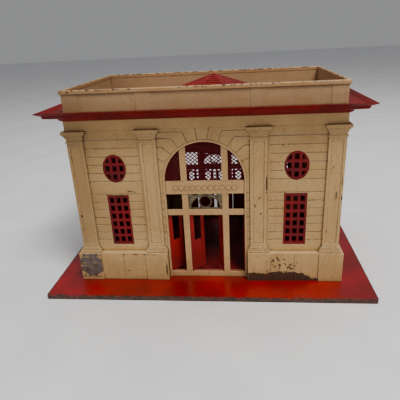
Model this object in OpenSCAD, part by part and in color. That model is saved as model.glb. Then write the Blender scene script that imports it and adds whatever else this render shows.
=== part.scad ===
// Pressed steel toy railway station: a two-bay building with arched portals front and rear,
// on a wide base pan, with a cornice, a parapet, a lift-off skylight and a lamp inside.
// The origin is the middle of the surface that the base stands on. +X runs along the building,
// -Y is the front and +Z is up. All sizes are in millimetres.

/* [Base] */
// Length of the base pan
base_w = 349.2; // [320:0.4:380]
// Depth of the base pan
base_d = 235; // [225:1:260]
// Height of the base pan
base_h = 5; // [5:0.5:8]
// Width of the flange turned in under the pan
base_flange = 7; // [4:0.5:9]

/* [Building] */
// Length of the building over its pilasters
body_w = 279.2; // [270:0.4:300]
// Depth of the building over its pilasters
body_d = 171; // [160:1:180]
// How far the building stands behind the middle of the base
body_back = 5.7; // [0:0.1:9]
// Thickness of the pressed steel
sheet = 1; // [0.8:0.1:1.2]
// Height of the top of the plinth
plinth_z = 38.5; // [36:0.5:40]
// How far the pedestals stand out from the pilasters
plinth_out = 5; // [3.5:0.5:6]
// Height of the bottom of the frieze
frieze_z = 176.2; // [175:0.2:178]
// Height of the wall tops, under the roof
eaves_z = 193.2; // [190:0.2:195]
// Width of a pilaster shaft
pilaster_w = 17; // [15:0.5:19]
// How far the pilasters stand out from the masonry
recess = 2.4; // [1.6:0.2:2.8]
// Distance between masonry joints
course_step = 9; // [8.6:0.1:9.4]

/* [Windows] */
// Distance of a bay's windows from the middle of the front
bay_x = 93.5; // [90:0.5:96]
// Distance between the windows in an end wall
end_bay = 45; // [42:0.5:48]
// Width of a tall window opening
tall_w = 23.6; // [20:0.2:25]
// Height of a tall window opening
tall_h = 59; // [54:0.2:60]
// Height of the middle of the tall windows
tall_z = 76; // [75:0.5:78]
// Width of an oval window opening
oval_w = 24.8; // [20:0.2:26]
// Height of an oval window opening
oval_h = 30.8; // [26:0.2:32]
// Height of the middle of the oval windows
oval_z = 134.8; // [134:0.2:137]

/* [Portal] */
// Half the width of the portal, and the radius of its arch
portal_r = 43.8; // [43:0.1:44]
// Height of the arch's centre
spring_z = 120; // [119:0.5:121]
// Width of the bead around the portal
bead_w = 2.4; // [1.6:0.2:3]
// Width of an upright between the doors
mullion_w = 6.4; // [5:0.2:7]
// Distance of an upright from the middle
mullion_x = 21.3; // [20.5:0.1:22]
// Height of the door sill
sill_z = 11.4; // [10.5:0.1:12]
// Height of the bottom of the transom bar
door_top_z = 81.2; // [80:0.2:82]
// Height of the bottom of the transom lights
transom_z = 87.8; // [87:0.2:89]
// Height of the bottom of the lintel
lintel_z = 105.6; // [105:0.2:107]

/* [Doors] */
// Rest opening of the front outer left door, in degrees
front_a_open = 42; // [0:1:90]
// Rest opening of the front inner left door, in degrees
front_b_open = 38; // [0:1:90]
// Rest opening of the front inner right door, in degrees
front_c_open = 73; // [0:1:90]
// Rest opening of the front outer right door, in degrees
front_d_open = 88; // [0:1:90]
// Rest opening of each rear door, in degrees
rear_open = 26; // [0:1:90]

/* [Roof] */
// How far the cornice stands out from the pilasters
cornice_out = 19.8; // [18:0.2:21]
// Height of the parapet's rim
parapet_z = 215.9; // [210:0.1:217]
// Length of the skylight
skylight_w = 150; // [140:1:152]
// Depth of the skylight
skylight_d = 92; // [88:1:100]
// Height of the skylight's point
skylight_z = 219.8; // [216:0.2:222]
// How far the loose skylight has slid to the right in its hole
skylight_shift = 8.4; // [0:0.2:9]
// How far the loose skylight has turned in its hole, in degrees
skylight_turn = 2.2; // [0:0.1:3]

/* [Lamp] */
// Radius of the lamp globe
globe_r = 6.4; // [5:0.2:7]
// Diameter of a lamp lead
lead_d = 1.5; // [1.2:0.1:1.8]

/* [Hidden] */

cream = "#cdb890";
red = "#a01418";
dark_red = "#4a1216";
nickel = "#b9b4a2";
brass = "#b08d4a";
fibre = "#7a4634";
steel = "#8d8d90";

round_fn = 96;
eps = 0.05;
gap = 0.15;
inner = -recess - sheet;
end_half = body_d/2 + inner;
pil_inner = 47.2;
body_front = body_back - body_d/2;

// Raised steps of a pilaster's capital and foot: bottom, top and how far each stands out.
capital_steps = [
    [frieze_z - 12.6, frieze_z - 11.4, 0.9],
    [frieze_z - 8.2, frieze_z - 6.6, 0.7],
    [frieze_z - 6.6, frieze_z - 5, 1.4],
    [frieze_z - 5, frieze_z - 3.6, 2.2],
    [frieze_z - 3.6, frieze_z - 0.6, 3.5]
];
foot_steps = [
    [plinth_z, plinth_z + 2.6, 3.2],
    [plinth_z + 2.6, plinth_z + 4.2, 2],
    [plinth_z + 4.2, plinth_z + 5.6, 1.2],
    [plinth_z + 5.6, plinth_z + 6.8, 0.6]
];

// Panes of a window: columns, rows, the steps between them and the size of one pane.
pane_w = 4.5;
tall_cols = 3;
tall_rows = 6;
tall_step_x = 7.2;
tall_step_z = 9.25;
tall_pane_h = 6.2;
oval_step_x = 7.4;
oval_step_z = 9.2;
oval_pane_h = 6;
oval_rim = 2;

// Diamonds of the arch grilles: steps between them and how much of a step each opens.
grille_step_x = 4.4;
grille_step_z = 3.7;
grille_open = 0.67;

// Doors: leaf thickness, the hinge line behind the portal plate and the pivot's radius.
leaf_t = 0.8;
hinge_out = inner - sheet - 0.9;
pivot_r = 0.6;
leaf_low = sill_z + 0.5;
leaf_high = door_top_z - 0.5;
ledge_depth = 3.4;
outer_hinge_x = portal_r - bead_w - 0.4;
inner_hinge_x = mullion_x - mullion_w/2 - 0.4;
outer_leaf_w = outer_hinge_x - mullion_x - mullion_w/2 + 0.6;
inner_leaf_w = inner_hinge_x - 0.3;

// Roof levels.
deck_top = eaves_z + sheet;
deck_half_x = body_w/2;
deck_half_y = body_d/2;
parapet_in = 1.6;
rest_gap = 0.1;
rim_h = 4;
hole_half_x = 63.5;
hole_half_y = 36.5;
collar_half_x = 52;
collar_half_y = 29;
tab_half_x = 22;
tab_half_y = skylight_d/2 - 5.05;
rivet_y = skylight_d/2 + 6.5;
skylight_ribs = 13;
skylight_rib_r = 0.75;
hip_front = 0.36;
hip_end = 0.12;

// Lamp and terminals.
lamp_z = 158;
socket_r = 5.4;
strap_w = 12;
strap_t = 1.2;
terminal_x = 128;
terminal_y = 106.5;
terminal_gap = 20;
lead_x = 130;
lead_y = 84;
screw_r = 1.5;

// ---------- helpers ----------

// A block against a wall: x0..x1 along it, z0..z1 up it, back..front out from its pilasters.
module slab(x0, x1, z0, z1, back, front) {
    translate([x0, -front, z0]) cube([x1 - x0, front - back, z1 - z0]);
}

module at_front() { translate([0, body_back - body_d/2, 0]) children(); }
module at_rear() { translate([0, body_back + body_d/2, 0]) rotate([0, 0, 180]) children(); }
module at_left() { translate([-body_w/2, body_back, 0]) rotate([0, 0, -90]) children(); }
module at_right() { translate([body_w/2, body_back, 0]) rotate([0, 0, 90]) children(); }

// A round bar that runs out from a wall, from back to front.
module round_bar(x, z, r, back, front) {
    translate([x, -back, z]) rotate([90, 0, 0]) cylinder(r = r, h = front - back, $fn = round_fn);
}

function ellipse(rx, rz, n = 48) = [for (i = [0:n - 1]) [rx*cos(360*i/n), rz*sin(360*i/n)]];

// An oval block that runs out from a wall.
module oval_bar(x, z, rx, rz, back, front) {
    translate([x, -back, z]) rotate([90, 0, 0])
        linear_extrude(height = front - back) polygon(ellipse(rx, rz));
}

// A block with rounded upright corners.
module round_plate(w, d, h, r) {
    translate([-w/2 + r, -d/2, 0]) cube([w - 2*r, d, h]);
    translate([-w/2, -d/2 + r, 0]) cube([w, d - 2*r, h]);
    for (sx = [-1, 1], sy = [-1, 1])
        translate([sx*(w/2 - r), sy*(d/2 - r), 0]) cylinder(r = r, h = h, $fn = 32);
}

// A rectangular tube: outer half sizes, wall thickness and height.
module box_ring(hx, hy, t, h) {
    difference() {
        translate([-hx, -hy, 0]) cube([2*hx, 2*hy, h]);
        translate([-hx + t, -hy + t, -1]) cube([2*(hx - t), 2*(hy - t), h + 2]);
    }
}

// One mitred length of moulding. The profile's x is the distance out from half size hx, hy.
module mitred_side(profile, hx, hy, reach) {
    intersection() {
        translate([-hx - reach, -hy, 0]) rotate([90, 0, 90])
            linear_extrude(height = 2*(hx + reach))
                polygon([for (p = profile) [-p[0], p[1]]]);
        translate([0, 0, profile[0][1] - 50]) linear_extrude(height = 100)
            polygon([[-hx + hy, 0], [-hx - reach, -hy - reach],
                     [hx + reach, -hy - reach], [hx - hy, 0]]);
    }
}

module mitred_end(profile, hx, hy, reach) {
    intersection() {
        translate([-hx, hy + reach, 0]) rotate([90, 0, 0])
            linear_extrude(height = 2*(hy + reach))
                polygon([for (p = profile) [-p[0], p[1]]]);
        translate([0, 0, profile[0][1] - 50]) linear_extrude(height = 100)
            polygon([[-hx + hy, 0], [-hx - reach, -hy - reach], [-hx - reach, hy + reach]]);
    }
}

module mitred_ring(profile, hx, hy, reach) {
    for (turn = [0, 180]) rotate([0, 0, turn]) {
        mitred_side(profile, hx, hy, reach);
        mitred_end(profile, hx, hy, reach);
    }
}

// ---------- base ----------

module base_plate() color(red) difference() {
    round_plate(base_w, base_d, base_h, 2);
    translate([0, 0, sheet])
        round_plate(base_w - 2*sheet, base_d - 2*sheet, base_h - 2*sheet, 1);
    translate([0, 0, -1])
        round_plate(base_w - 2*base_flange, base_d - 2*base_flange, 2 + sheet, 1);
    for (sx = [-1, 1]) translate([terminal_x + sx*terminal_gap/2, terminal_y, 0])
        cylinder(r = screw_r + 0.6, h = 20, $fn = 32);
    translate([lead_x, lead_y, 0]) cylinder(r = 3.2, h = 20, $fn = 48);
}

// ---------- walls ----------

// A pilaster from x0 to x1. left and right are 1 where its mouldings return around the edge.
module pilaster(x0, x1, left, right) {
    slab(x0, x1, plinth_z, frieze_z, inner, 0);
    for (s = concat(capital_steps, foot_steps))
        slab(x0 - left*s[2], x1 + right*s[2], s[0], s[1], inner, s[2]);
}

// The sunk panel down the front of a pilaster and the hollow behind it.
module pilaster_cuts(x0, x1) {
    slab(x0 + 2.8, x1 - 2.8, plinth_z + 10.5, frieze_z - 15, -0.7, 1);
    slab(x0 + sheet, x1 - sheet, plinth_z + 9, frieze_z - 12, inner - 1, -sheet - 0.5);
}

module pedestal(x0, x1, out) {
    slab(x0, x1, base_h, plinth_z, inner, out);
}

module pedestal_cut(x0, x1, out) {
    slab(x0 + sheet, x1 - sheet, base_h - 1, plinth_z - sheet, inner - 1, out - sheet);
}

// Joint lines between the courses of masonry, above and below the belt course.
module masonry_joints(x0, x1, upper = 6) {
    for (k = [0:1:upper - 1]) slab(x0, x1, 120.2 + k*course_step, 121.5 + k*course_step, -recess - 0.45, 1);
    for (k = [0:6]) slab(x0, x1, 105.8 - k*course_step, 107.1 - k*course_step, -recess - 0.45, 1);
}

// Masonry sheet with its joints cut across each span, from -half to half.
module masonry(half, joint_spans) {
    difference() {
        slab(-half, half, plinth_z, frieze_z, inner, -recess);
        for (span = joint_spans) masonry_joints(span[0], span[1]);
    }
}

module frieze(half) {
    difference() {
        slab(-half, half, frieze_z, eaves_z, inner, 0);
        slab(-half + sheet, half - sheet, frieze_z + sheet, eaves_z - sheet, inner - 1, -sheet);
    }
}

module window_holes(x) {
    slab(x - tall_w/2, x + tall_w/2, tall_z - tall_h/2, tall_z + tall_h/2, inner - 1, 1);
    oval_bar(x, oval_z, oval_w/2, oval_h/2, inner - 1, 1);
}

// Radial joints of the stones around the arch.
module arch_joints() {
    stone_r = portal_r + 12;
    for (k = [1:12]) {
        a = 90 - k*180/13;
        translate([0, recess, spring_z]) rotate([0, a, 0])
            translate([-0.55, -1, portal_r + 0.6]) cube([1.1, 1.45, 11.4]);
        if (abs(a) > 20 && abs(a) < 60)
            scale([sign(a), 1, 1]) slab(stone_r*sin(abs(a)) - 0.4, pil_inner, spring_z + stone_r*cos(a) - 0.55,
                spring_z + stone_r*cos(a) + 0.55, -recess - 0.45, 1);
    }
}

module portal_hole() {
    slab(-portal_r, portal_r, 0, spring_z, inner - 1, 8);
    round_bar(0, spring_z, portal_r, inner - 1, 8);
}

// Masonry of the middle bay: a smooth field cut only by the radial joints of the arch.
module arch_field() {
    difference() {
        slab(-pil_inner, pil_inner, plinth_z, frieze_z, inner, -recess);
        arch_joints();
        masonry_joints(-pil_inner, pil_inner, 0);
    }
}

module long_wall() {
    half = body_w/2;
    ped = plinth_out + body_w/2;
    corner = half - pilaster_w;
    joint_x = pil_inner + pilaster_w + 2.4;
    difference() {
        union() {
            difference() {
                masonry(half, [[-half, -joint_x], [joint_x, half]]);
                slab(-pil_inner, pil_inner, base_h, frieze_z + 1, inner - 1, 1);
            }
            arch_field();
            frieze(half);
            for (s = [-1, 1]) scale([s, 1, 1]) {
                pilaster(corner, half, 1, 1);
                pilaster(pil_inner, pil_inner + pilaster_w, 1, 1);
                pedestal(ped - 25, ped, plinth_out);
                pedestal(portal_r + 0.4, portal_r + 24.8, plinth_out);
                pedestal(portal_r + 24.8, ped - 25, plinth_out - 0.9);
            }
        }
        portal_hole();
        for (s = [-1, 1]) scale([s, 1, 1]) {
            pilaster_cuts(corner, half);
            pilaster_cuts(pil_inner, pil_inner + pilaster_w);
            pedestal_cut(ped - 25, ped, plinth_out);
            pedestal_cut(portal_r + 0.4, portal_r + 24.8, plinth_out);
            pedestal_cut(portal_r + 24.8, ped - 25, plinth_out - 0.9);
            slab(bay_x, bay_x + 0.6, base_h + 1, plinth_z - 1, plinth_out - 1.3, plinth_out);
            window_holes(bay_x);
        }
    }
}

module end_wall() {
    half = end_half;
    ped = half + inner - plinth_out + 25;
    difference() {
        union() {
            masonry(half, [[-half, half]]);
            frieze(half);
            for (s = [-1, 1]) scale([s, 1, 1]) {
                pilaster(half - pilaster_w - inner, half, 1, 0);
                pedestal(half - 16.6, half, plinth_out);
            }
            pedestal(-half + 16.6, half - 16.6, plinth_out - 0.9);
        }
        for (s = [-1, 1]) scale([s, 1, 1]) {
            pilaster_cuts(half - pilaster_w - inner, half);
            pedestal_cut(half - 16.6, half, plinth_out);
        }
        pedestal_cut(-half + 16.6, half - 16.6, plinth_out - 0.9);
        for (x = [-1.5, -0.5, 0.5, 1.5])
            slab(x*end_bay*0.72, x*end_bay*0.72 + 0.6, base_h + 1, plinth_z - 1, plinth_out - 1.3, plinth_out);
        for (x = [-1, 0, 1]) window_holes(x*end_bay);
    }
}

module front_wall() color(cream) at_front() long_wall();
module rear_wall() color(cream) at_rear() long_wall();
module left_wall() color(cream) at_left() end_wall();
module right_wall() color(cream) at_right() end_wall();

// ---------- windows ----------

// Sash with square panes, raised through its hole and flanged behind the wall.
module tall_window(x) {
    difference() {
        union() {
            slab(x - tall_w/2 - 1.5, x + tall_w/2 + 1.5, tall_z - tall_h/2 - 1.5,
                 tall_z + tall_h/2 + 1.5, inner - 0.8, inner);
            slab(x - tall_w/2 + gap, x + tall_w/2 - gap, tall_z - tall_h/2 + gap,
                 tall_z + tall_h/2 - gap, inner - 0.8, -recess - 0.3);
        }
        for (i = [0:tall_cols - 1], j = [0:tall_rows - 1]) {
            px = x + (i - (tall_cols - 1)/2)*tall_step_x;
            pz = tall_z + (j - (tall_rows - 1)/2)*tall_step_z;
            slab(px - pane_w/2, px + pane_w/2, pz - tall_pane_h/2, pz + tall_pane_h/2, inner - 2, 1);
        }
    }
}

// Oval sash: nine panes clipped by an oval inside its rim.
module oval_window(x) {
    difference() {
        union() {
            oval_bar(x, oval_z, oval_w/2 + 1.5, oval_h/2 + 1.5, inner - 0.8, inner);
            oval_bar(x, oval_z, oval_w/2 - gap, oval_h/2 - gap, inner - 0.8, -recess - 0.3);
        }
        intersection() {
            oval_bar(x, oval_z, oval_w/2 - oval_rim, oval_h/2 - oval_rim, inner - 2, 1);
            for (i = [-1:1], j = [-1:1]) {
                px = x + i*oval_step_x;
                pz = oval_z + j*oval_step_z;
                slab(px - pane_w/2, px + pane_w/2, pz - oval_pane_h/2, pz + oval_pane_h/2, inner - 2, 1);
            }
        }
    }
}

module front_oval_windows() color(red) at_front() for (s = [-1, 1]) oval_window(s*bay_x);
module rear_oval_windows() color(red) at_rear() for (s = [-1, 1]) oval_window(s*bay_x);
module left_oval_windows() color(red) at_left() for (s = [-1:1]) oval_window(s*end_bay);
module right_oval_windows() color(red) at_right() for (s = [-1:1]) oval_window(s*end_bay);
module front_tall_windows() color(red) at_front() for (s = [-1, 1]) tall_window(s*bay_x);
module rear_tall_windows() color(red) at_rear() for (s = [-1, 1]) tall_window(s*bay_x);
module left_tall_windows() color(red) at_left() for (s = [-1:1]) tall_window(s*end_bay);
module right_tall_windows() color(red) at_right() for (s = [-1:1]) tall_window(s*end_bay);

// ---------- portal ----------

// Upright openings of the portal from z0 to z1: two side lights and a middle one.
module portal_lights(z0, z1) {
    side = portal_r - bead_w;
    for (s = [-1, 1]) scale([s, 1, 1])
        slab(mullion_x + mullion_w/2, side, z0, z1, inner - 3, 1);
    slab(-mullion_x + mullion_w/2, mullion_x - mullion_w/2, z0, z1, inner - 3, 1);
}

module lunette() {
    intersection() {
        round_bar(0, spring_z, portal_r - bead_w, inner - 3, 1);
        portal_lights(spring_z, spring_z + portal_r);
    }
}

// Row of raised lozenges along the lintel.
module lintel_relief() {
    for (k = [-5:5]) translate([k*6.2, -inner - 1.3, (lintel_z + spring_z - 1.2)/2]) rotate([0, 45, 0])
        translate([-2, 0, -2]) cube([4, 1.5, 4]);
}

module portal_frame() {
    back = inner - sheet;
    difference() {
        union() {
            slab(-portal_r - 2.6, portal_r + 2.6, base_h, spring_z, back, inner);
            round_bar(0, spring_z, portal_r + 2.6, back, inner);
            slab(-portal_r + 0.3, portal_r - 0.3, base_h, spring_z, back, -recess + 0.5);
            round_bar(0, spring_z, portal_r - 0.3, back, -recess + 0.5);
        }
        slab(-portal_r + bead_w, portal_r - bead_w, base_h - 1, spring_z, inner, 1);
        round_bar(0, spring_z, portal_r - bead_w, inner, 1);
        portal_lights(sill_z, door_top_z);
        portal_lights(transom_z, lintel_z);
        lunette();
        round_bar(0, (sill_z + base_h)/2, 0.7, back - 1, 1);
    }
    slab(-portal_r + bead_w, portal_r - bead_w, lintel_z, spring_z - 1.2, inner - eps, inner + 0.6);
    intersection() {
        lintel_relief();
        slab(-40, 40, lintel_z, spring_z, inner, 0);
    }
    ledges();
}

// Turned-in ledges above and below the doors, drilled for the doors' pivots.
module ledges() {
    back = inner - sheet;
    difference() {
        for (z = [sill_z - sheet, door_top_z])
            slab(-portal_r + bead_w - 1, portal_r - bead_w + 1, z, z + sheet, back - ledge_depth, back);
        for (s = [-1, 1], x = [outer_hinge_x, inner_hinge_x])
            translate([s*x, -hinge_out, 0]) cylinder(r = pivot_r + 0.05, h = 100, $fn = 24);
    }
}

module front_portal() color(cream) at_front() portal_frame();
module rear_portal() color(cream) at_rear() portal_frame();

// Diamond-pierced sheet behind the arch.
module arch_grille() {
    back = inner - sheet - 0.6;
    r = portal_r - bead_w + 1.6;
    half_x = grille_step_x*grille_open/2;
    half_z = grille_step_z*grille_open/2;
    difference() {
        intersection() {
            round_bar(0, spring_z, r, back, inner - sheet);
            slab(-r, r, spring_z - 3, spring_z + r, back, inner - sheet);
        }
        for (i = [-10:10], j = [0:11], k = [0, 0.5]) {
            px = (i + k)*grille_step_x;
            pz = spring_z + 1.6 + (j + k)*grille_step_z;
            upright = abs(abs(px) - mullion_x) < mullion_w/2 - 1;
            if (norm([px, pz - spring_z]) < r - 2.6 && !upright)
                translate([px, 20, pz]) rotate([90, 0, 0]) linear_extrude(height = 40)
                    polygon([[half_x, 0], [0, half_z], [-half_x, 0], [0, -half_z]]);
        }
    }
}

module front_arch_grille() color(dark_red) at_front() arch_grille();
module rear_arch_grille() color(dark_red) at_rear() arch_grille();

// Plated ornament in the middle transom light: a round eye in a half-oval fan opening.
module transom_ornament() {
    back = inner - sheet - 0.7;
    face = inner - sheet;
    mid = (transom_z + lintel_z)/2;
    difference() {
        union() {
            slab(-mullion_x + 1.5, mullion_x - 1.5, transom_z - 1.4, lintel_z + 1.4, back, face);
            round_bar(0, mid, 7, back, face + 1.2);
        }
        round_bar(0, mid, 5.9, back - 1, face + 2);
        difference() {
            intersection() {
                oval_bar(0, transom_z + 1.6, 15.4, 13, back - 1, face + 0.01);
                slab(-20, 20, transom_z + 1.6, lintel_z, back - 1, face + 0.01);
            }
            round_bar(0, mid, 7, back - 2, face + 1);
        }
        for (s = [-1, 1]) oval_bar(s*10, lintel_z - 1.6, 2.8, 0.7, back - 1, face + 0.01);
    }
}

module front_transom_ornament() color(nickel) at_front() transom_ornament();
module rear_transom_ornament() color(nickel) at_rear() transom_ornament();

// ---------- doors ----------

// A leaf drawn from its hinge at x = 0 towards +x, closed, with a window, a panel and pivots.
module door_leaf(w) {
    h = leaf_high - leaf_low;
    stile = w*0.25;
    difference() {
        slab(-0.5, w, leaf_low, leaf_high, -leaf_t/2, leaf_t/2);
        slab(stile, w - stile, leaf_low + h*0.535, leaf_high - 2.4, -2, 2);
        slab(stile - 1, w - stile + 1, leaf_low + 4, leaf_low + h*0.4, leaf_t/2 - 0.3, 2);
    }
    slab(stile, w - stile, leaf_low + 5.2, leaf_low + h*0.4 - 1.2, 0, leaf_t/2);
    slab(w - stile, w - stile + 1, leaf_low + h*0.43, leaf_low + h*0.51, 0, leaf_t/2 + 0.8);
    for (z = [leaf_low - 1.8, leaf_high])
        translate([0, 0, z - eps/2]) cylinder(r = pivot_r, h = 1.8 + eps/2, $fn = 24);
}

// The four leaves of a portal. hand is 1 for a hinge on the left, -1 for one on the right.
module door(hinge_x, w, hand, angle) {
    translate([hinge_x, -hinge_out, 0]) rotate([0, 0, hand*angle]) scale([hand, 1, 1]) door_leaf(w);
}

module door_a(angle) color(red) door(-outer_hinge_x, outer_leaf_w, 1, angle);
module door_b(angle) color(red) door(-inner_hinge_x, inner_leaf_w, 1, angle);
module door_c(angle) color(red) door(inner_hinge_x, inner_leaf_w, -1, angle);
module door_d(angle) color(red) door(outer_hinge_x, outer_leaf_w, -1, angle);

module front_door_a() at_front() door_a(front_a_open);
module front_door_b() at_front() door_b(front_b_open);
module front_door_c() at_front() door_c(front_c_open);
module front_door_d() at_front() door_d(front_d_open);
module rear_door_a() at_rear() door_a(rear_open);
module rear_door_b() at_rear() door_b(rear_open);
module rear_door_c() at_rear() door_c(rear_open);
module rear_door_d() at_rear() door_d(rear_open);

// ---------- roof ----------

// The cornice's section: bed mould, soffit, hollow fascia, lip, gutter and top.
cornice_profile = concat(
    [[0.1, 186.2], [1.5, 187], [2.4, 187.4], [3.3, 189.2], [13.4, 191.4]],
    [for (a = [0:22.5:90]) [14 + 2.2*(1 - cos(a)), 192 + 2.8*sin(a)]],
    [[17.6, 195.6], [cornice_out - 0.2, 196.6], [cornice_out, 197.1], [cornice_out - 0.4, 197.4]],
    [[14.6, 194.2], [12.8, 193.9], [0.1, eaves_z + 0.6]]
);

module cornice() color(red) translate([0, body_back, 0])
    mitred_ring(cornice_profile, deck_half_x, deck_half_y, cornice_out + 1);

module roof_deck() color(red) translate([0, body_back, eaves_z]) difference() {
    translate([-deck_half_x, -deck_half_y, 0]) cube([2*deck_half_x, 2*deck_half_y, sheet]);
    translate([-hole_half_x, -hole_half_y, -1]) cube([2*hole_half_x, 2*hole_half_y, sheet + 2]);
    for (sx = [-1, 1]) translate([sx*3.6, rivet_y, -1]) cylinder(r = 1.25, h = 5, $fn = 24);
}

// Shallow strips that carry the pilasters' lines up the parapet.
module parapet_strips() {
    strips_x = [body_w/2 - pilaster_w/2 - 1, pil_inner + pilaster_w/2];
    for (s = [-1, 1], t = [-1, 1], x = strips_x)
        translate([s*x - pilaster_w/2 + 1, t*(deck_half_y - parapet_in) - 0.4, 0])
            cube([pilaster_w - 2, 0.8, parapet_z - rim_h - deck_top]);
    for (s = [-1, 1], t = [-1, 1])
        translate([s*(deck_half_x - parapet_in) - 0.4, t*(deck_half_y - 11) - 6.5, 0])
            cube([0.8, 13, parapet_z - rim_h - deck_top]);
}

module parapet() color(cream) translate([0, body_back, deck_top]) {
    box_ring(deck_half_x - parapet_in, deck_half_y - parapet_in, sheet, parapet_z - rim_h - deck_top);
    intersection() {
        parapet_strips();
        box_ring(deck_half_x, deck_half_y, parapet_in + 0.5, 100);
    }
}

// Folded rim along the top of the parapet.
rim_profile = [
    [-parapet_in - 1.4, parapet_z - rim_h], [-0.6, parapet_z - rim_h], [0, parapet_z - rim_h + 0.6],
    [0, parapet_z - 0.8], [-0.8, parapet_z], [-parapet_in - 0.6, parapet_z],
    [-parapet_in - 1.4, parapet_z - 0.8]
];

module parapet_rim() color(cream) translate([0, body_back, 0])
    mitred_ring(rim_profile, deck_half_x, deck_half_y, 1);

// Plan of the skylight's hipped top: a short front and rear edge, and ends cut almost to points.
function hip_plan(hx, hy) = [
    [-hx, -hy*hip_end], [-hx*hip_front, -hy], [hx*hip_front, -hy], [hx, -hy*hip_end],
    [hx, hy*hip_end], [hx*hip_front, hy], [-hx*hip_front, hy], [-hx, hy*hip_end]
];

// A low pyramid on that plan, with its base at z = 0.
module hipped(hx, hy, h) {
    plan = hip_plan(hx, hy);
    polyhedron(
        points = concat([for (p = plan) [p[0], p[1], 0]], [[0, 0, h]]),
        faces = concat([[for (i = [0:7]) i]], [for (i = [0:7]) [i, 8, (i + 1)%8]])
    );
}

// Ribs pressed across the front and rear slopes, one above another.
module slope_ribs(hx, hy, h) {
    for (s = [-1, 1], k = [1:skylight_ribs]) {
        near = 1 - k/(skylight_ribs + 1);
        reach = hx*hip_front*near;
        translate([-reach, s*hy*near, h*(1 - near)]) rotate([0, 90, 0])
            cylinder(r = skylight_rib_r, h = 2*reach, $fn = 16);
    }
}

module at_skylight() {
    translate([skylight_shift, body_back, deck_top + rest_gap]) rotate([0, 0, -skylight_turn]) children();
}

module skylight_cap() color(red) at_skylight() {
    hx = skylight_w/2;
    hy = skylight_d/2;
    h = skylight_z - deck_top - rest_gap - 1.4;
    difference() {
        union() {
            translate([-hx, -hy, 0]) cube([2*hx, 2*hy, 1.4]);
            translate([0, 0, 1.4 - eps]) hipped(hx - 1, hy - 2, h + eps);
            translate([0, 0, 1.4]) slope_ribs(hx - 1, hy - 2, h);
        }
        translate([0, 0, -eps]) hipped(hx - 3.6, hy - 4, h - 0.2);
    }
}

// Collar that hangs in the roof's hole, with tabs soldered inside the skylight's front and rear.
module skylight_collar() color(red) at_skylight() translate([0, 0, -6]) {
    box_ring(collar_half_x, collar_half_y, sheet, 6);
    difference() {
        union() {
            translate([-tab_half_x, -tab_half_y, 6]) cube([2*tab_half_x, 2*tab_half_y, 0.5]);
            translate([-tab_half_x, -collar_half_y, 5]) cube([2*tab_half_x, 2*collar_half_y, 1.2]);
        }
        translate([-collar_half_x + sheet, -collar_half_y + sheet, 4])
            cube([2*(collar_half_x - sheet), 2*(collar_half_y - sheet), 4]);
    }
}

// ---------- lamp ----------

module lamp_bracket() color(steel) translate([0, body_back, 0]) {
    leg_y = hole_half_y + 2;
    difference() {
        union() {
            translate([-strap_w/2, leg_y, eaves_z - strap_t])
                cube([strap_w, rivet_y - leg_y + 4, strap_t]);
            translate([-strap_w/2, leg_y, lamp_z - strap_t]) cube([strap_w, strap_t, eaves_z - lamp_z + strap_t]);
            translate([-strap_w/2, -9, lamp_z - strap_t]) cube([strap_w, leg_y + 9 + strap_t, strap_t]);
        }
        translate([0, 0, lamp_z - 5]) cylinder(r = 3.6, h = 10, $fn = 48);
        for (sx = [-1, 1])
            translate([sx*3.6, rivet_y, eaves_z - 5]) cylinder(r = 1.25, h = 10, $fn = 24);
    }
}

module bracket_rivets() color(steel) for (sx = [-1, 1])
    translate([sx*3.6, body_back + rivet_y, eaves_z - strap_t]) {
        cylinder(r = 1.2, h = strap_t + sheet, $fn = 24);
        translate([0, 0, -0.9]) cylinder(r = 2.1, h = 0.9, $fn = 24);
        translate([0, 0, strap_t + sheet]) cylinder(r = 2.1, h = 0.8, $fn = 24);
    }

module at_lamp() { translate([0, body_back, lamp_z]) children(); }

// Screw shell with a rolled lip and a rivet eye through the strap.
module lamp_socket() color(brass) at_lamp() difference() {
    union() {
        translate([0, 0, 0.8]) cylinder(r = socket_r, h = 12, $fn = 64);
        translate([0, 0, 12]) cylinder(r = socket_r + 0.6, h = 0.8, $fn = 64);
        translate([0, 0, -strap_t - 2]) cylinder(r = 2.4, h = 4, $fn = 48);
    }
    translate([0, 0, 1.8]) cylinder(r = socket_r - 0.5, h = 20, $fn = 64);
}

module socket_washers() color(fibre) at_lamp() for (z = [0, -strap_t - 0.8]) difference() {
    translate([0, 0, z]) cylinder(r = socket_r + 0.4, h = 0.8, $fn = 48);
    translate([0, 0, z - 1]) cylinder(r = 2.45, h = 4, $fn = 48);
}

module bulb_cap() color(brass) at_lamp() {
    translate([0, 0, 1.8]) cylinder(r = 1.8, h = 1.4, $fn = 32);
    translate([0, 0, 3.2]) cylinder(r = socket_r - 0.7, h = 9.6, $fn = 64);
}

module bulb_glass() color("#f2efe4", 0.6) at_lamp() rotate_extrude($fn = 64)
    polygon(concat(
        [[0, 12.8], [3.6, 12.8], [3.6, 14]],
        [for (a = [-50:10:80]) [globe_r*cos(a), 19.6 + globe_r*sin(a)]],
        [[0, 19.6 + globe_r]]
    ));

// A lead swept along its route with a ring of flat sides at each step.
function blend(a, b, c, d, t) = 0.5*((2*b) + (c - a)*t + (2*a - 5*b + 4*c - d)*t*t
    + (3*b - a - 3*c + d)*t*t*t);
function smooth_route(p, n = 4) = concat(
    [for (i = [0:len(p) - 2], k = [0:n - 1])
        blend(p[max(i - 1, 0)], p[i], p[i + 1], p[min(i + 2, len(p) - 1)], k/n)],
    [p[len(p) - 1]]
);
function unit(v) = v/norm(v);
function ring_at(c, dir, r, sides) =
    let (side = unit(cross(dir, abs(dir[1]) < 0.8 ? [0, 1, 0] : [1, 0, 0])), up = cross(dir, side))
    [for (i = [0:sides - 1]) c + r*cos(360*i/sides)*side + r*sin(360*i/sides)*up];

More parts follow.
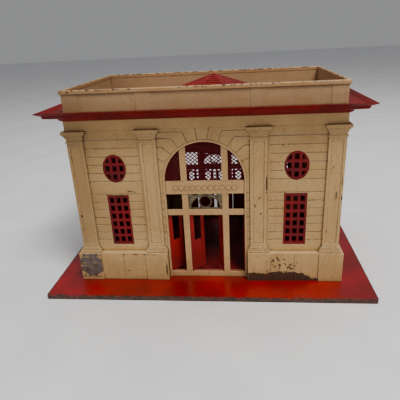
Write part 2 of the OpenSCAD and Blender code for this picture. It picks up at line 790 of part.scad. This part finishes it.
module sweep(route, r, sides = 8) {
    p = smooth_route(route);
    n = len(p);
    rings = [for (i = [0:n - 1])
        each ring_at(p[i], unit(p[min(i + 1, n - 1)] - p[max(i - 1, 0)]), r, sides)];
    walls = [for (i = [0:n - 2], j = [0:sides - 1])
        [i*sides + j, i*sides + (j + 1)%sides, (i + 1)*sides + (j + 1)%sides, (i + 1)*sides + j]];
    polyhedron(
        points = rings,
        faces = concat(walls, [[for (j = [sides - 1:-1:0]) j]],
                       [[for (j = [0:sides - 1]) (n - 1)*sides + j]])
    );
}

// Both leads run from the lamp along the strap, across under the roof, down the rear corner
// and through the grommet to the terminals.
function lead_route(side) = [
    [side*1.2, body_back, 154.7], [side*1.4, body_back + 1.5, 151], [side*2, body_back + 12, 149],
    [side*2, body_back + 32, 149], [side*2, body_back + 43, 155], [side*2 + 3, 57 - side, 172],
    [side*1.6 + 14, 70 - side*1.2, 184], [40, 76 - side*1.4, 187], [80, 80 - side*1.4, 187],
    [112, 82 - side*1.4, 186], [lead_x - 4, lead_y - side*1.3, 180], [lead_x, lead_y - side*1.2, 168],
    [lead_x, lead_y - side*1.2, 130], [lead_x, lead_y - side*1.2, 90], [lead_x, lead_y - side*1.2, 50],
    [lead_x, lead_y - side*1.2, 16], [lead_x, lead_y - side*1.2, 7], [lead_x, lead_y - side*1.2, 3.6],
    [lead_x + side*1.6, lead_y - side*1.2 + 0.8, 1.8], [lead_x + side*5, lead_y + 4.5, 1.5],
    [terminal_x + side*9, terminal_y - 9, 2], [terminal_x + side*terminal_gap/2, terminal_y - 1.6, 3.15]
];

module lamp_lead_a() color("#2b2622") sweep(lead_route(-1), lead_d/2);
module lamp_lead_b() color("#6b1a18") sweep(lead_route(1), lead_d/2);

module lead_grommet() color("#2a2522") translate([lead_x, lead_y, base_h]) difference() {
    union() {
        translate([0, 0, -1.9]) cylinder(r = 4.4, h = 0.9, $fn = 48);
        translate([0, 0, -1]) cylinder(r = 3.15, h = 1, $fn = 48);
        cylinder(r = 4.4, h = 1, $fn = 48);
    }
    translate([0, 0, -4]) cylinder(r = 2.5, h = 8, $fn = 48);
}

// ---------- terminals ----------

module at_terminals(sides = [-1, 1]) {
    for (s = sides) translate([terminal_x + s*terminal_gap/2, terminal_y, base_h]) children();
}

module terminal_strip() color(fibre) difference() {
    translate([terminal_x, terminal_y, base_h]) round_plate(terminal_gap + 14, 11, 1.2, 1.5);
    at_terminals() translate([0, 0, -1]) cylinder(r = screw_r + 0.1, h = 4, $fn = 32);
}

module terminal_screws() color(brass) at_terminals() {
    translate([0, 0, -3.7]) cylinder(r = 2.7, h = 1.1, $fn = 32);
    translate([0, 0, -2.7]) cylinder(r = screw_r, h = 14.6, $fn = 32);
}

module terminal_hex_nuts() color(brass) at_terminals() difference() {
    translate([0, 0, 1.2]) cylinder(r = 3.1, h = 1.8, $fn = 6);
    translate([0, 0, 1]) cylinder(r = screw_r + 0.05, h = 4, $fn = 32);
}

// Knurled thumb nut, turned by hand.
module thumb_nut() difference() {
    union() {
        translate([0, 0, 3.3]) cylinder(r = 2.6, h = 1.6, $fn = 48);
        difference() {
            translate([0, 0, 4.8]) cylinder(r = 3.9, h = 3.4, $fn = 64);
            for (i = [0:15]) rotate([0, 0, i*22.5])
                translate([4.05, 0, 4]) cylinder(r = 0.4, h = 6, $fn = 16);
        }
    }
    translate([0, 0, 1]) cylinder(r = screw_r + 0.06, h = 10, $fn = 32);
}

module thumb_nut_a() color(brass) at_terminals([-1]) thumb_nut();
module thumb_nut_b() color(brass) at_terminals([1]) thumb_nut();

base_plate();
front_wall();
rear_wall();
left_wall();
right_wall();
front_portal();
rear_portal();
front_arch_grille();
rear_arch_grille();
front_transom_ornament();
rear_transom_ornament();
front_oval_windows();
rear_oval_windows();
left_oval_windows();
right_oval_windows();
front_tall_windows();
rear_tall_windows();
left_tall_windows();
right_tall_windows();
front_door_a();
front_door_b();
front_door_c();
front_door_d();
rear_door_a();
rear_door_b();
rear_door_c();
rear_door_d();
cornice();
roof_deck();
parapet();
parapet_rim();
skylight_cap();
skylight_collar();
lamp_bracket();
bracket_rivets();
lamp_socket();
socket_washers();
bulb_cap();
bulb_glass();
lamp_lead_a();
lamp_lead_b();
lead_grommet();
terminal_strip();
terminal_screws();
terminal_hex_nuts();
thumb_nut_a();
thumb_nut_b();
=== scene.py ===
"""Worn pressed steel toy railway station: materials and wear for its pieces, light and camera."""

import math

import bmesh
import bpy
from mathutils import Matrix, Vector

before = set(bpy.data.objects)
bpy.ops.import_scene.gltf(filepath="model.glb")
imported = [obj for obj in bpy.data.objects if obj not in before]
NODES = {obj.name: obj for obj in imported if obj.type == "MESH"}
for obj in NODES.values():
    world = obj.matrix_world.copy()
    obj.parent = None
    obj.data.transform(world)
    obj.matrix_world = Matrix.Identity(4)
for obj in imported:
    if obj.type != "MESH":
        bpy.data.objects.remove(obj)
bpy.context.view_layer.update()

# ---------- node graph helper ----------


class Val:
    """A node socket or a number, with arithmetic that makes Math nodes."""

    def __init__(self, graph, value):
        self.g, self.v = graph, value

    def _op(self, op, other=None, flip=False):
        a, b = (other, self) if flip else (self, other)
        return self.g.math(op, a, b)

    def __add__(self, o):
        return self._op("ADD", o)

    __radd__ = __add__

    def __sub__(self, o):
        return self._op("SUBTRACT", o)

    def __rsub__(self, o):
        return self._op("SUBTRACT", o, flip=True)

    def __mul__(self, o):
        return self._op("MULTIPLY", o)

    __rmul__ = __mul__

    def __truediv__(self, o):
        return self._op("DIVIDE", o)

    def abs(self):
        return self.g.math("ABSOLUTE", self)

    def sqrt(self):
        return self.g.math("SQRT", self)

    def max(self, o):
        return self._op("MAXIMUM", o)

    def inv(self):
        return 1.0 - self

    def step(self, low, high):
        """Smooth 0 to 1 as the value goes from low to high."""
        if low > high:
            return self.step(high, low).inv()
        n = self.g.node("ShaderNodeMapRange", {"Value": self, 1: low, 2: high},
                        interpolation_type="SMOOTHSTEP")
        return Val(self.g, n.outputs[0])


class Graph:
    """One material. Positions are in millimetres in the row's frame."""

    def __init__(self, name):
        self.mat = bpy.data.materials.new(name)
        self.mat.use_nodes = True
        self.tree = self.mat.node_tree
        self.tree.nodes.clear()
        self.out = self.node("ShaderNodeOutputMaterial")
        coord = self.node("ShaderNodeTexCoord")
        scaled = self.node("ShaderNodeVectorMath",
                           {0: coord.outputs["Object"], 1: (1000, 1000, 1000)}, operation="MULTIPLY")
        self.pos = Val(self, scaled.outputs[0])
        parts = self.node("ShaderNodeSeparateXYZ", {0: self.pos})
        self.x, self.y, self.z = (Val(self, s) for s in parts.outputs)
        self.normal = self.node("ShaderNodeNewGeometry").outputs["Normal"]

    def node(self, kind, inputs=None, **props):
        n = self.tree.nodes.new(kind)
        for key, value in props.items():
            setattr(n, key, value)
        for key, value in (inputs or {}).items():
            value = value.v if isinstance(value, Val) else value
            if isinstance(value, bpy.types.NodeSocket):
                self.tree.links.new(value, n.inputs[key])
            elif value is not None:
                n.inputs[key].default_value = value
        return n

    def math(self, op, a, b=None):
        n = self.node("ShaderNodeMath", {0: a, 1: b}, operation=op)
        return Val(self, n.outputs[0])

    def stretched(self, sx, sy, sz):
        n = self.node("ShaderNodeVectorMath", {0: self.pos, 1: (sx, sy, sz)}, operation="MULTIPLY")
        return Val(self, n.outputs[0])

    def noise(self, size, detail=3.0, rough=0.55, at=None, warp=0.0):
        """Fractal noise whose features are about size millimetres across."""
        n = self.node("ShaderNodeTexNoise",
                      {"Vector": at or self.pos, "Scale": 1.0 / size, "Detail": detail,
                       "Roughness": rough, "Distortion": warp})
        return Val(self, n.outputs[0])

    def mix(self, fac, a, b):
        n = self.node("ShaderNodeMix", {0: fac, 6: colour(a), 7: colour(b)}, data_type="RGBA")
        return n.outputs[2]

    def blend(self, fac, a, b):
        return a + (b - a) * fac if isinstance(a, Val) or isinstance(b, Val) else fac * (b - a) + a

    def facing(self, axis):
        """The surface's normal along x, y or z."""
        s = self.node("ShaderNodeSeparateXYZ", {0: self.normal})
        return Val(self, s.outputs["xyz".index(axis)])

    def occlusion(self, reach, samples=6):
        n = self.node("ShaderNodeAmbientOcclusion", {"Distance": reach / 1000}, samples=samples)
        return Val(self, n.outputs["AO"])

    def edges(self, radius, samples=6):
        """How far a rounded normal turns from the real one: high near edges."""
        bev = self.node("ShaderNodeBevel", {"Radius": radius / 1000}, samples=samples)
        dot = self.node("ShaderNodeVectorMath", {0: bev.outputs[0], 1: self.normal},
                        operation="DOT_PRODUCT")
        return Val(self, dot.outputs["Value"]).inv().max(0.0)

    def spot(self, x, z, rx, rz, lean=0):
        """Distance from an upright ellipse's middle, 1 at its edge. lean slants it to the right."""
        dx = (self.x - (self.z - z) * lean - x) / rx
        dz = (self.z - z) / rz
        return (dx * dx + dz * dz).sqrt()

    def surface(self, base, rough, bump=None, depth=0.2, soft=0.3, **fixed):
        """Principled shader with a rounded-edge normal and an optional bump height in millimetres."""
        normal = self.node("ShaderNodeBevel", {"Radius": soft / 1000}, samples=4).outputs[0]
        if bump is not None:
            normal = self.node("ShaderNodeBump", {"Height": bump, "Distance": depth / 1000,
                                                  "Strength": 1.0, "Normal": normal}).outputs[0]
        inputs = {"Base Color": base, "Roughness": rough, "Normal": normal}
        inputs.update(fixed)
        shader = self.node("ShaderNodeBsdfPrincipled", inputs)
        self.tree.links.new(shader.outputs[0], self.out.inputs["Surface"])
        return self.mat


def colour(c):
    if isinstance(c, (Val, bpy.types.NodeSocket)):
        return c.v if isinstance(c, Val) else c
    return (c[0], c[1], c[2], 1.0)


def srgb(r, g, b):
    return tuple((v / 255 / 12.92) if v <= 10 else ((v / 255 + 0.055) / 1.055) ** 2.4
                 for v in (r, g, b))


RUST = srgb(82, 50, 34)
DARK = srgb(38, 26, 20)


# Places on the part, in millimetres.
BODY_BACK = 5.7  # how far the building stands behind the middle of the base
END_WALL_IN = 136.9  # what lies nearer to the middle along the building is inside it
LONG_WALL_IN = 82.5  # the same from front to rear, for the walls
PORTAL_IN = 81.6  # for the portal frames
ORNAMENT_IN = 80.9  # for the backs of the transom ornaments
WALL_TOP = 193.4
PLINTH_TOP = 38.4
SCRAPE_LOW = 8.4  # where the scraped pedestal's bare steel starts
PORTAL_EDGE = 44  # where the plinth ends beside the portal
PEDESTAL_EDGE = 120  # where a corner pedestal starts
RIM_TOP = 215.9
FRONT_FACE = -76.5  # what lies in front of this is the front's outer face
PAN_HALF_X = 174.6
PAN_HALF_Y = 117.5
LINTEL_FIGURES = (107.5, 118)  # bottom and top of the lozenges' band

# Small chips on the front: x, z, half width, half height and lean.
FRONT_CHIPS = (
    (-80, 109.4, 2.6, 0.8, 0), (-74.5, 108.6, 0.8, 1.3, 0), (79.5, 156, 0.6, 2.2, 0.2),
    (56.6, 101, 0.6, 2.4, 0.7), (63.6, 117, 0.9, 10, 0), (58, 83, 1.2, 0.9, 0),
    (52, 92, 0.6, 2.5, -0.2), (128, 132, 0.5, 2.2, 0.8), (133.4, 103, 0.7, 4, 0),
    (139, 100, 0.8, 3, 0), (95, 100, 1.6, 0.8, 0), (126, 62, 0.5, 2, 0),
    (-136, 82, 1.1, 1.6, 0), (91, 20, 2.4, 1.0, 0), (65, 17.5, 1.4, 0.9, 0),
    (-90, 16, 2.2, 0.5, 0), (138, 118, 0.5, 5, 0))


# ---------- materials ----------


def inside_building(g, depth=LONG_WALL_IN):
    """1 on surfaces inside the walls, which are painted darker as shade; the cream there also gets a
    painted red glow of light bounced off the red base.
    """
    return g.x.abs().step(END_WALL_IN, END_WALL_IN - 0.6) \
        * (g.y - BODY_BACK).abs().step(depth, depth - 0.4) * g.z.step(WALL_TOP, WALL_TOP - 0.4)


def cream_paint(name, scars=None, light=srgb(200, 165, 110), deep=srgb(181, 144, 90),
                chip_amount=1.0, depth=LONG_WALL_IN, figures=None):
    """Cream enamel: faded, with grime and painted shade in its joints, painted highlights on its edges
    and tops, chipped to dark steel along its edges.

    figures gives the bottom and top of a band whose raised figures get dark outlines of painted shade
    at their feet.
    """
    g = Graph(name)
    broad = g.noise(38, 3)
    base = g.mix(broad.step(0.3, 0.7), deep, light)
    fine = g.noise(3.2, 4)
    base = g.mix(fine.step(0.35, 0.75) * 0.36, base, srgb(160, 124, 80))
    grain = g.noise(1.4, 2)
    base = g.mix(grain.step(0.52, 0.72) * 0.28, base, srgb(146, 112, 72))
    base = g.mix(grain.step(0.46, 0.28) * 0.3, base, srgb(228, 198, 150))
    streak = g.noise(5, 3, at=g.stretched(1, 1, 0.08))
    base = g.mix(streak.step(0.54, 0.78) * 0.3, base, srgb(132, 98, 60))
    pink = g.noise(16, 3).step(0.55, 0.75)
    base = g.mix(pink * 0.26, base, srgb(206, 152, 118))
    up = g.facing("z").step(0.6, 0.95)
    # darker above the plinth: painted shade under the cornice, with some grime
    base = g.mix(g.z.step(44, 70) * 0.3, base, srgb(148, 112, 66))
    # painted shade towards the left corner, above the plinth
    base = g.mix(g.x.step(-86, -136) * g.z.step(38, 52) * 0.42, base, srgb(112, 84, 52))
    soft_shade = g.occlusion(7.0).inv()
    base = g.mix(soft_shade.step(0.25, 0.95) * up.inv() * 0.5, base, srgb(104, 72, 42))
    # painted shade, with some grime, darkening the joints and creases that occlusion finds
    crease_shade_and_grime = g.occlusion(1.6).inv()
    base = g.mix(crease_shade_and_grime.step(0.13, 0.45) * 0.86, base, srgb(60, 41, 25))
    if figures is not None:
        low, high = figures
        # painted shade: dark outlines at the feet of the raised figures
        figure_outline_shade = g.occlusion(1.2).inv().step(0.06, 0.3) * g.z.step(low, low + 1) \
            * g.z.step(high, high - 1)
        base = g.mix(figure_outline_shade * 0.75, base, srgb(98, 70, 44))
    # painted light: up-facing tops made lighter
    base = g.mix(up * 0.3, base, srgb(226, 192, 146))
    edge = g.edges(0.55)
    # painted highlight: lighter colour along the edges
    edge_highlight = edge.step(0.02, 0.16) * g.noise(9, 4).step(0.3, 0.5)
    base = g.mix(edge_highlight * 0.72, base, srgb(232, 202, 158))
    worn = (edge.step(0.02, 0.2) * g.noise(4.5, 4).step(0.56, 0.63)) * chip_amount
    speck = g.noise(2.4, 2).step(0.73, 0.755) * g.noise(30, 2).step(0.46, 0.6)
    chips = worn.max(speck * 0.85 * chip_amount)
    bare = g.mix(g.noise(2.2, 5, 0.65).step(0.42, 0.62), RUST, srgb(56, 48, 42))
    rough = g.blend(chips, 0.44 + fine * 0.14, 0.72)
    if scars is not None:
        scrape, grey = scars(g)
        chips = chips.max(scrape)
        bare = g.mix(grey, bare, srgb(98, 90, 86))
    base = g.mix(chips, base, bare)
    # painted shade and red light bounced off the base on the inner faces
    base = g.mix(inside_building(g, depth) * 0.78, base, srgb(122, 22, 14))
    height = fine * 0.35 - chips + g.noise(0.8, 2) * 0.12
    return g.surface(base, rough, bump=height, depth=0.12, soft=0.4,
                     **{"Specular IOR Level": 0.28})


def front_scars(g):
    """The front's own damage: a scraped pedestal, a rusted foot and small chips."""
    low = g.noise(5, 5, 0.62)
    broad = g.noise(14, 4, 0.6)
    ped = g.spot(-131.5, 24, 15, 15.5) + (low - 0.5) * 1.5 + (broad - 0.5) * 0.9
    streaks = g.noise(2.6, 4, at=g.stretched(0.22, 1, 1.6))
    ped_mask = ped.step(1.12, 0.84) * streaks.step(0.3, 0.42) \
        * g.x.step(-PEDESTAL_EDGE + 0.6, -PEDESTAL_EDGE) * g.z.step(SCRAPE_LOW, SCRAPE_LOW + 0.8) \
        * g.z.step(PLINTH_TOP, PLINTH_TOP - 0.2)
    ped_line = (g.z - 8.6 - (low - 0.5) * 1.6).abs().step(0.7, 0.3) * g.x.step(-121, -124)
    crumbs = g.noise(1.7, 4, 0.6)
    foot_z = 14.6 + (broad - 0.5) * 9 + (low - 0.5) * 7 + (crumbs - 0.5) * 6 \
        + g.x.step(60, 76) * 1.6 - g.x.step(92, 116) * 7
    foot = (g.z - foot_z).step(0.5, -0.5) * g.x.step(PORTAL_EDGE, PORTAL_EDGE + 0.6) \
        * g.x.step(PEDESTAL_EDGE + 0.4, PEDESTAL_EDGE - 0.4)
    pits = g.noise(2.3, 2).step(0.57, 0.61) * g.spot(82, 26, 18, 12).step(1.2, 0.6)
    ledge = (g.z - 36.8).abs().step(0.9, 0.3) * g.noise(6, 4).step(0.5, 0.56) \
        * g.x.step(-PORTAL_EDGE, -PORTAL_EDGE - 2) * g.x.step(-106, -100)
    streak = g.spot(-45.6, 18, 0.9, 9).step(1.3, 0.7) * low.step(0.36, 0.46)
    mask = ped_mask.max(foot).max(pits).max(ledge).max(streak).max(ped_line)
    for x, z, rx, rz, lean in FRONT_CHIPS:
        mark = g.spot(x, z, rx, rz, lean) + (low - 0.5) * 1.4
        mask = mask.max(mark.step(1.1, 0.8))
    front_only = g.y.step(FRONT_FACE, FRONT_FACE - 0.7)
    return mask * front_only, ped_mask * low.step(0.3, 0.55)


def rim_scars(g):
    """Black chips along the parapet's folded rim."""
    along = g.noise(3.6, 5, 0.62, at=g.stretched(0.7, 1, 0.4))
    where = g.noise(60, 2).step(0.36, 0.5)
    edge_band = (g.z - RIM_TOP).abs().step(1.9, 0.7)
    chips = along.step(0.52, 0.56) * where * edge_band
    hole = g.spot(-130, 214.2, 1.3, 1.1).step(1.1, 0.8) * g.y.step(-76, -78)
    return chips.max(hole), 0.0


def red_paint(name, lit=srgb(146, 1, 8), deep=srgb(112, 1, 6), gloss=0.3, wear=1.0, dust=0.0,
              edge_mask=None, coat=0.12, shine=0.35):
    """Red enamel with fine scratches, dull dust and dark bare edges."""
    g = Graph(name)
    broad = g.noise(45, 3)
    base = g.mix(broad.step(0.32, 0.68), deep, lit)
    fine = g.noise(2.2, 4)
    base = g.mix(fine.step(0.5, 0.8) * 0.25, base, srgb(92, 8, 6))
    # painted shade in the hollows that occlusion finds
    hollow_shade = g.occlusion(4.0).inv()
    base = g.mix(hollow_shade.step(0.3, 0.85) * 0.75, base, srgb(34, 3, 4))
    scratch = g.noise(1.6, 3, at=g.stretched(0.12, 1, 1), warp=0.6).step(0.64, 0.68) \
        * g.noise(26, 2).step(0.5, 0.66)
    edge = g.edges(0.8)
    worn = edge.step(0.02, 0.18) * g.noise(6, 4).step(0.5, 0.6)
    if edge_mask is not None:
        worn = worn.max(edge_mask(g))
    speck = g.noise(2.0, 2).step(0.74, 0.76) * g.noise(36, 2).step(0.48, 0.6)
    chips = (worn.max(speck)) * wear
    base = g.mix(scratch * 0.4, base, srgb(70, 12, 8))
    if dust:
        up = g.facing("z").step(0.5, 0.95)
        base = g.mix(up * (g.noise(22, 4).step(0.35, 0.7)) * dust, base, srgb(150, 84, 70))
    base = g.mix(chips, base, g.mix(g.noise(3, 3).step(0.4, 0.6), DARK, RUST))
    # painted shade towards the right end
    base = g.mix(g.x.step(128, 176) * 0.4, base, srgb(84, 4, 6))
    # painted shade on surfaces inside the building
    inside = inside_building(g)
    base = g.mix(inside * 0.1, base, srgb(30, 4, 4))
    rough = g.blend(chips.max(scratch * 0.5).max(inside), gloss + fine * 0.12 + broad * 0.06, 0.72)
    height = fine * 0.2 - chips * 0.9 + g.noise(0.7, 2) * 0.08
    return g.surface(base, rough, bump=height, depth=0.1, soft=0.45,
                     **{"Coat Weight": coat, "Coat Roughness": 0.25, "Specular IOR Level": shine})


def base_edge(g):
    """Wear along the base pan's front and corners."""
    rim = (g.y + PAN_HALF_Y).step(2.6, 0.2).max((g.x.abs() - PAN_HALF_X).step(-1.8, -0.1))
    ragged = g.noise(7, 5, 0.65).step(0.36, 0.5)
    side = g.z.step(4.7, 3.6) * g.noise(9, 5, 0.6).step(0.3, 0.5) * g.y.step(-112, -116)
    corners = ((g.x.abs() - 174).step(-9, -1)) * ((g.y.abs() - 117).step(-6, -0.5))
    patch = (g.y + PAN_HALF_Y).step(9, 2) * g.noise(12, 5, 0.6).step(0.55, 0.62) \
        * g.noise(40, 2).step(0.45, 0.6)
    return (rim * ragged).max(side).max(corners * g.noise(5, 4).step(0.38, 0.5)).max(patch * 0.7)


def metal(name, bright, dull, gloss, tarnish=0.5, grain=None, shade_depth=None):
    """Plated or bare metal with tarnish clouds and fine brushing; painted shade in its hollows and,
    given a depth, on surfaces inside the building.
    """
    g = Graph(name)
    cloud = g.noise(5, 5, 0.6).step(0.35, 0.72)
    base = g.mix(cloud * tarnish, bright, dull)
    # painted shade in the hollows that occlusion finds
    hollow_shade = g.occlusion(2.0).inv().step(0.3, 0.85)
    base = g.mix(hollow_shade * 0.6, base, tuple(v * 0.25 for v in dull))
    # painted shade on surfaces inside the building
    if shade_depth is not None:
        base = g.mix(inside_building(g, shade_depth) * 0.9, base, srgb(34, 16, 12))
    brush = g.noise(0.5, 2, at=g.stretched(*(grain or (1, 1, 1))))
    rough = gloss + cloud * 0.2 + brush * 0.08
    return g.surface(base, rough, bump=brush + cloud * 0.4, depth=0.03, soft=0.25, Metallic=0.92)


def plain(name, a, b, rough, size=2.0, depth=0.06, **fixed):
    """Fibre and rubber: a mottled matte surface."""
    g = Graph(name)
    mottle = g.noise(size, 4)
    base = g.mix(mottle.step(0.3, 0.7), a, b)
    return g.surface(base, rough + mottle * 0.12, bump=mottle + g.noise(size / 4, 2) * 0.5, depth=depth,
                     soft=0.2, **fixed)


def braid(name, a, b):
    """Woven cotton cover of a lamp lead."""
    g = Graph(name)
    warp = g.node("ShaderNodeTexWave",
                  {"Vector": g.stretched(1, 1, 1), "Scale": 1.6, "Distortion": 1.5},
                  bands_direction="DIAGONAL")
    twill = Val(g, warp.outputs[1])
    base = g.mix(twill.step(0.35, 0.65), a, b)
    return g.surface(base, 0.85 - twill * 0.1, bump=twill + g.noise(0.5, 2) * 0.4, depth=0.12, soft=0.2,
                     **{"Sheen Weight": 0.3})


def lamp_glass(name):
    g = Graph(name)
    frost = g.noise(1.6, 4)
    base = g.mix(frost.step(0.3, 0.7), srgb(236, 230, 212), srgb(214, 204, 180))
    return g.surface(base, 0.35 + frost * 0.2, bump=frost, depth=0.02, soft=0.1,
                     **{"Transmission Weight": 0.35, "Subsurface Weight": 0.2})


def put(material, *names):
    for n in names:
        mesh = NODES[n].data
        mesh.materials.clear()
        mesh.materials.append(material)
        for p in mesh.polygons:
            p.material_index = 0


DOORS = [f"{side}_door_{k}" for side in ("front", "rear") for k in "abcd"]
WINDOWS = [f"{side}_{k}_windows" for side in ("front", "rear", "left", "right")
           for k in ("oval", "tall")]

put(cream_paint("cream_front", front_scars), "front_wall")
put(cream_paint("cream_walls"), "rear_wall", "left_wall", "right_wall")
put(cream_paint("cream_portal", light=srgb(204, 162, 112), deep=srgb(188, 146, 96),
                depth=PORTAL_IN, figures=LINTEL_FIGURES), "front_portal", "rear_portal")
put(cream_paint("cream_parapet", light=srgb(184, 154, 118), deep=srgb(168, 137, 102),
                chip_amount=0.7), "parapet")
put(cream_paint("cream_rim", rim_scars, light=srgb(186, 146, 104), deep=srgb(164, 124, 84),
                chip_amount=1.3), "parapet_rim")
put(red_paint("red_base", edge_mask=base_edge, coat=0.3, gloss=0.24), "base_plate")
put(red_paint("red_roof", lit=srgb(116, 5, 4), deep=srgb(90, 3, 3), gloss=0.36, coat=0.0,
              shine=0.12), "cornice", "roof_deck")
put(red_paint("red_skylight", lit=srgb(124, 14, 11), deep=srgb(96, 7, 7), gloss=0.45, dust=0.1,
              wear=0.5, coat=0.0, shine=0.15), "skylight_cap", "skylight_collar")
put(red_paint("red_doors", lit=srgb(160, 0, 4), deep=srgb(124, 0, 3), gloss=0.22, wear=0.6),
    *DOORS)
put(red_paint("red_windows", lit=srgb(118, 3, 14), deep=srgb(84, 2, 9), gloss=0.34, wear=0.6,
              coat=0.0, shine=0.2), *WINDOWS)
put(red_paint("maroon_grille", lit=srgb(100, 14, 28), deep=srgb(78, 8, 20), gloss=0.6, wear=0.3,
              coat=0.0, shine=0.1), "front_arch_grille", "rear_arch_grille")
put(metal("nickel", srgb(120, 106, 84), srgb(52, 42, 30), 0.3, 0.8, shade_depth=ORNAMENT_IN),
    "front_transom_ornament", "rear_transom_ornament")
put(metal("plated_steel", srgb(170, 170, 168), srgb(110, 104, 96), 0.34, 0.5, (0.15, 1, 1)),
    "lamp_bracket", "bracket_rivets")
put(metal("brass", srgb(204, 164, 92), srgb(116, 84, 44), 0.28, 0.6),
    "lamp_socket", "bulb_cap", "terminal_screws", "terminal_hex_nuts",
    "thumb_nut_a", "thumb_nut_b")
put(plain("fibre", srgb(104, 52, 36), srgb(84, 38, 26), 0.62), "socket_washers", "terminal_strip")
put(plain("rubber", srgb(34, 31, 29), srgb(24, 22, 21), 0.75), "lead_grommet")
put(braid("wire_black", srgb(44, 36, 30), srgb(28, 22, 18)), "lamp_lead_a")
put(braid("wire_red", srgb(120, 34, 26), srgb(82, 20, 16)), "lamp_lead_b")
put(lamp_glass("lamp_glass"), "bulb_glass")

# ---------- floor, light and camera ----------


def pale_floor():
    g = Graph("table")
    soft = g.noise(90, 3)
    base = g.mix(soft.step(0.3, 0.7), srgb(226, 226, 228), srgb(236, 236, 237))
    return g.surface(base, 0.85, **{"Specular IOR Level": 0.2})


bm = bmesh.new()
bmesh.ops.create_grid(bm, x_segments=1, y_segments=1, size=6)
mesh = bpy.data.meshes.new("floor")
bm.to_mesh(mesh)
bm.free()
floor = bpy.data.objects.new("floor", mesh)
bpy.context.scene.collection.objects.link(floor)
mesh.materials.append(pale_floor())


def area_light(name, place, target, size, power, tint=(1, 1, 1)):
    data = bpy.data.lights.new(name, "AREA")
    data.shape = "RECTANGLE"
    data.size, data.size_y = size
    data.energy = power
    data.color = tint
    o = bpy.data.objects.new(name, data)
    o.location = place
    o.rotation_euler = (Vector(target) - Vector(place)).to_track_quat("-Z", "Y").to_euler()
    bpy.context.scene.collection.objects.link(o)
    return o


area_light("key", (0.5, -0.72, 1.55), (0, 0, 0.1), (0.55, 0.55), 27, (1.0, 0.975, 0.93))
area_light("fill", (-1.0, -1.1, 0.6), (0, 0, 0.05), (1.2, 1.0), 2.0, (1.0, 0.96, 0.9))
area_light("top", (0.1, 0.35, 1.4), (0, 0, 0.1), (1.2, 1.2), 7, (0.96, 0.98, 1.0))

world = bpy.data.worlds.new("studio")
world.use_nodes = True
world.node_tree.nodes["Background"].inputs[0].default_value = (0.93, 0.94, 0.96, 1)
world.node_tree.nodes["Background"].inputs[1].default_value = 0.3
bpy.context.scene.world = world

AZIMUTH, ELEVATION, ROLL = (math.radians(a) for a in (6.43, 21.80, -3.01))
TARGET = Vector((-0.0141, 0.0, 0.0677))
DISTANCE = 0.5154
back = Vector((math.sin(AZIMUTH) * math.cos(ELEVATION), -math.cos(AZIMUTH) * math.cos(ELEVATION),
               math.sin(ELEVATION)))
right = (-back).cross(Vector((0, 0, 1))).normalized()
up = right.cross(-back)
cam_x = math.cos(ROLL) * right + math.sin(ROLL) * up
cam_y = -math.sin(ROLL) * right + math.cos(ROLL) * up
camera_data = bpy.data.cameras.new("camera")
camera_data.sensor_width = 36
camera_data.lens = 36.87
camera_data.clip_start = 0.01
camera = bpy.data.objects.new("camera", camera_data)
bpy.context.scene.collection.objects.link(camera)
place = TARGET + back * DISTANCE
camera.matrix_world = Matrix([[cam_x[i], cam_y[i], back[i], place[i]] for i in range(3)]
                             + [[0, 0, 0, 1]])
bpy.context.scene.camera = camera
